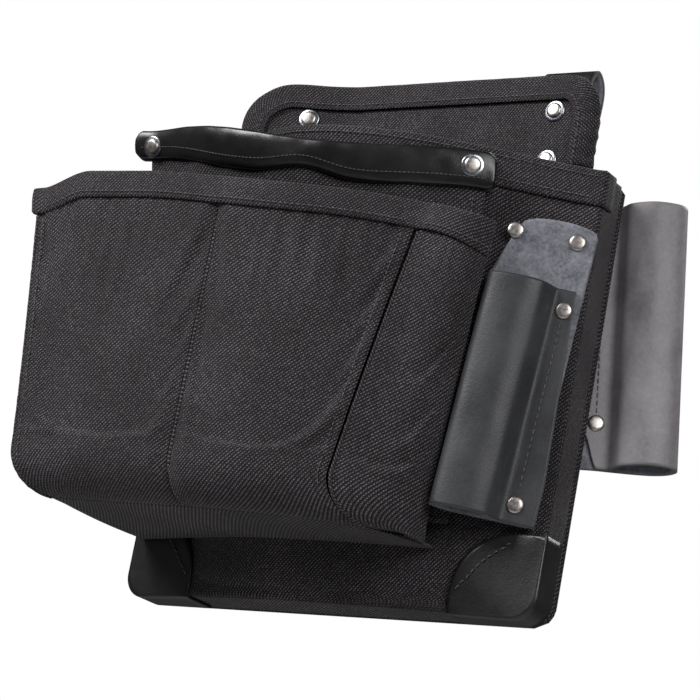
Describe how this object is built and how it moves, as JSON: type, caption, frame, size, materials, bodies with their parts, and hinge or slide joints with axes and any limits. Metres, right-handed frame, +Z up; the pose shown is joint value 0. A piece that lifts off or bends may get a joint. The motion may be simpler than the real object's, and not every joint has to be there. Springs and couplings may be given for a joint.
{
  "type": "electrician tool pouch",
  "caption": "Black nylon belt pouch for hand tools: stacked open pockets on a stiff back panel, leather belt loops and two hanging leather sleeves.",
  "frame": {"origin": "in the belt tunnel: under the belt loops' crest, mid-width, on the plane of the back panel's rear face", "axes": "+X to the right as seen from the front, +Y back towards the wearer, +Z up"},
  "size_m": [0.3571, 0.1761, 0.3398],
  "materials": {
    "body_fabric": "matte woven nylon, charcoal black",
    "hem_fabric": "folded nylon hem with a stitched edge",
    "lip_leather": "glossy black binding",
    "corner_leather": "smooth dark, black stitches",
    "loop_leather": "smooth black, raw edges",
    "sleeve_leather": "satin charcoal grain, suede flesh side",
    "stiffener_board": "plain sheet, hidden",
    "rivet_steel": "pale nickel caps",
    "washer_steel": "bright rings"
  },
  "bodies": {
    "bag": {"back_panel_front_skin": "body_fabric", "back_panel_rear_skin": "body_fabric", "back_stiffener": "stiffener_board", "belt_loop_left": "loop_leather", "belt_loop_right": "loop_leather", "corner_patch_left": "corner_leather", "corner_patch_right": "corner_leather", "front_pouch_bottom": "body_fabric", "front_pouch_divider": "body_fabric", "front_pouch_hem": "hem_fabric", "front_pouch_left_gusset": "body_fabric", "front_pouch_left_panel": "body_fabric", "front_pouch_right_gusset": "body_fabric", "front_pouch_right_panel": "body_fabric", "lip_rivet_left": "rivet_steel", "lip_rivet_right": "rivet_steel", "lip_washer_left": "washer_steel", "lip_washer_right": "washer_steel", "loop_foot_rivet_left": "rivet_steel", "loop_foot_rivet_right": "rivet_steel", "main_front_panel": "body_fabric", "main_gusset": "body_fabric", "main_lip_hem": "hem_fabric", "plier_holder_head": "sleeve_leather", "plier_holder_rivet_left": "rivet_steel", "plier_holder_rivet_right": "rivet_steel", "second_pouch_divider": "body_fabric", "second_pouch_gusset": "body_fabric", "second_pouch_lip": "lip_leather", "second_pouch_panel": "body_fabric", "side_sleeve_tab": "sleeve_leather", "tab_rivet_lower": "rivet_steel", "tab_rivet_upper": "rivet_steel", "yoke_hem": "hem_fabric", "yoke_rivet_lower_left": "rivet_steel", "yoke_rivet_lower_right": "rivet_steel", "yoke_rivet_upper_left": "rivet_steel", "yoke_rivet_upper_right": "rivet_steel", "yoke_washer_lower_left": "washer_steel", "yoke_washer_lower_right": "washer_steel", "yoke_washer_upper_left": "washer_steel", "yoke_washer_upper_right": "washer_steel"},
    "plier_holder": {"plier_holder_sleeve": "sleeve_leather", "plier_seam_rivet_upper": "rivet_steel", "plier_seam_rivet_lower": "rivet_steel"},
    "side_sleeve": {"side_sleeve": "sleeve_leather", "side_seam_rivet_upper": "rivet_steel", "side_seam_rivet_lower": "rivet_steel"}
  },
  "joints": [
    {"name": "plier_holder_swing", "type": "hinge", "parent": "bag", "child": "plier_holder", "pos_m": [0.11567, -0.0417, -0.13052], "axis": [-0.9029, -0.4226, 0.079], "range_deg": [0, 35], "stiffness_Nm_per_rad": 0.05},
    {"name": "side_sleeve_swing", "type": "hinge", "parent": "bag", "child": "side_sleeve", "pos_m": [0.11379, 0.00218, -0.10572], "axis": [-0.1219, 0, 0.9925], "range_deg": [-8, 30], "stiffness_Nm_per_rad": 0.06}
  ]
}
